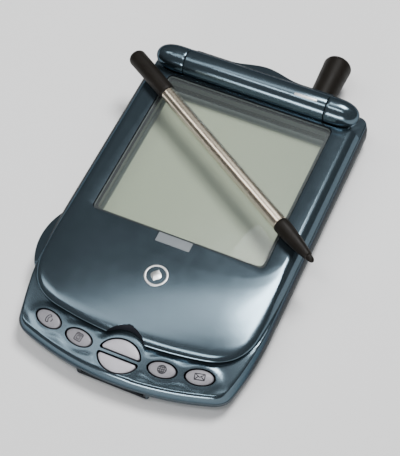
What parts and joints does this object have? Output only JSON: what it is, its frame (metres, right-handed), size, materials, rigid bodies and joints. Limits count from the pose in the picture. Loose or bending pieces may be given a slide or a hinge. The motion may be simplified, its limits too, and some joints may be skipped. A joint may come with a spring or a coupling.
{
  "type": "personal digital assistant",
  "caption": "Pocket organiser with phone radio: shell body, hinged lid with clear window, front keys, side rocker, stub antenna and a stylus lying on the lid.",
  "frame": {"origin": "on the flat back, midway across and near the middle of the length", "axes": "+X to the right of someone holding it, +Y to the hinge and antenna end, +Z out of the front"},
  "size_m": [0.0758, 0.1246, 0.0207],
  "materials": {
    "shell_paint": "metallic blue-grey lacquer over moulded plastic",
    "window_clear": "clear polished plate",
    "screen_face": "greenish grey liquid crystal face",
    "writing_plate": "printed pale grey plate",
    "inner_plastic": "dark moulded plastic",
    "key_plastic": "silver lilac lacquer",
    "frosted_tab": "frosted translucent plastic",
    "emblem_metal": "satin silver",
    "black_plastic": "near-black warm satin",
    "champagne_metal": "drawn champagne anodised",
    "steel": "plain steel",
    "circuit_board": "green solder mask",
    "battery_wrap": "blue film",
    "speaker_body": "dark moulded can",
    "gold_brass": "gold flash",
    "card_plastic": "printed card",
    "rubber_pad": "soft pad",
    "flex_film": "amber film"
  },
  "bodies": {
    "body": {"rear_cover": "shell_paint", "front_housing": "shell_paint", "left_knuckle": "shell_paint", "right_knuckle": "shell_paint", "hinge_shaft": "steel", "hinge_pivot_tube": "steel", "main_board": "circuit_board", "radio_shield": "steel", "processor_shield": "steel", "battery_pack": "battery_wrap", "lcd_panel": "screen_face", "lcd_frame": "steel", "touch_panel": "window_clear", "writing_area_plate": "writing_plate", "button_board": "circuit_board", "button_domes": "steel", "dock_connector": "inner_plastic", "dock_contacts": "gold_brass", "headset_jack": "inner_plastic", "jog_switch": "steel", "power_switch": "steel", "ringer_switch": "inner_plastic", "ringer_speaker": "speaker_body", "microphone": "steel", "vibration_motor": "steel", "sim_socket": "steel", "infrared_window": "black_plastic", "stylus_silo": "inner_plastic", "antenna_stub": "black_plastic", "antenna_stud": "gold_brass", "antenna_insert": "gold_brass", "housing_screws": "steel"},
    "lid": {"lid_shell": "shell_paint", "lid_window": "window_clear", "lid_inner_panel": "inner_plastic", "lid_light_tab": "frosted_tab", "lid_emblem": "emblem_metal", "lid_bumpers": "rubber_pad", "earpiece_speaker": "speaker_body", "lid_flex_cable": "flex_film", "lid_screws": "steel", "hinge_barrel": "shell_paint", "hinge_detent_housing": "steel"},
    "stylus": {"stylus_barrel": "champagne_metal", "stylus_tip": "black_plastic", "stylus_cap": "black_plastic"},
    "phone_button": {"phone_button": "key_plastic"},
    "calendar_button": {"calendar_button": "key_plastic"},
    "web_button": {"web_button": "key_plastic"},
    "mail_button": {"mail_button": "key_plastic"},
    "scroll_up_button": {"scroll_up_button": "key_plastic"},
    "scroll_down_button": {"scroll_down_button": "key_plastic"},
    "jog_carriage": {"jog_carriage": "inner_plastic"},
    "jog_rocker": {"jog_rocker": "shell_paint"},
    "power_button": {"power_button": "key_plastic"},
    "ringer_slider": {"ringer_slider": "key_plastic"},
    "sim_tray": {"sim_tray": "inner_plastic", "sim_card": "card_plastic"},
    "vibration_weight": {"vibration_weight": "steel"}
  },
  "joints": [
    {"name": "lid_hinge", "type": "hinge", "parent": "body", "child": "lid", "pos_m": [0, 0.0458, 0.0168], "axis": [-1, 0, 0], "range_deg": [0, 150]},
    {"name": "stylus_lift", "type": "slide", "parent": "lid", "child": "stylus", "axis": [0, 0, 1], "range_m": [0, 0.12]},
    {"name": "phone_press", "type": "slide", "parent": "body", "child": "phone_button", "axis": [0.0404, 0.1618, -0.986], "range_m": [0, 0.0005], "stiffness_N_per_m": 300},
    {"name": "calendar_press", "type": "slide", "parent": "body", "child": "calendar_button", "axis": [0.0227, 0.1652, -0.986], "range_m": [0, 0.0005], "stiffness_N_per_m": 300},
    {"name": "scroll_up_press", "type": "slide", "parent": "body", "child": "scroll_up_button", "axis": [0, 0.1668, -0.986], "range_m": [0, 0.0005], "stiffness_N_per_m": 300},
    {"name": "scroll_down_press", "type": "slide", "parent": "body", "child": "scroll_down_button", "axis": [0, 0.1668, -0.986], "range_m": [0, 0.0005], "stiffness_N_per_m": 300},
    {"name": "web_press", "type": "slide", "parent": "body", "child": "web_button", "axis": [-0.0227, 0.1652, -0.986], "range_m": [0, 0.0005], "stiffness_N_per_m": 300},
    {"name": "mail_press", "type": "slide", "parent": "body", "child": "mail_button", "axis": [-0.0404, 0.1618, -0.986], "range_m": [0, 0.0005], "stiffness_N_per_m": 300},
    {"name": "jog_push", "type": "slide", "parent": "body", "child": "jog_carriage", "axis": [1, 0, 0], "range_m": [0, 0.0007], "stiffness_N_per_m": 300},
    {"name": "jog_rock", "type": "hinge", "parent": "jog_carriage", "child": "jog_rocker", "pos_m": [-0.0314, -0.0215, 0.0074], "axis": [0, 0, 1], "range_deg": [-5, 5], "stiffness_Nm_per_rad": 0.02},
    {"name": "power_press", "type": "slide", "parent": "body", "child": "power_button", "axis": [0, -1, 0], "range_m": [0, 0.0005], "stiffness_N_per_m": 300},
    {"name": "ringer_slide", "type": "slide", "parent": "body", "child": "ringer_slider", "axis": [1, 0, 0], "range_m": [0, 0.0025]},
    {"name": "sim_tray_slide", "type": "slide", "parent": "body", "child": "sim_tray", "axis": [-1, 0, 0], "range_m": [0, 0.028]},
    {"name": "vibration_spin", "type": "hinge", "parent": "body", "child": "vibration_weight", "pos_m": [-0.0109, 0.0464, 0.004], "axis": [1, 0, 0], "continuous": true}
  ]
}
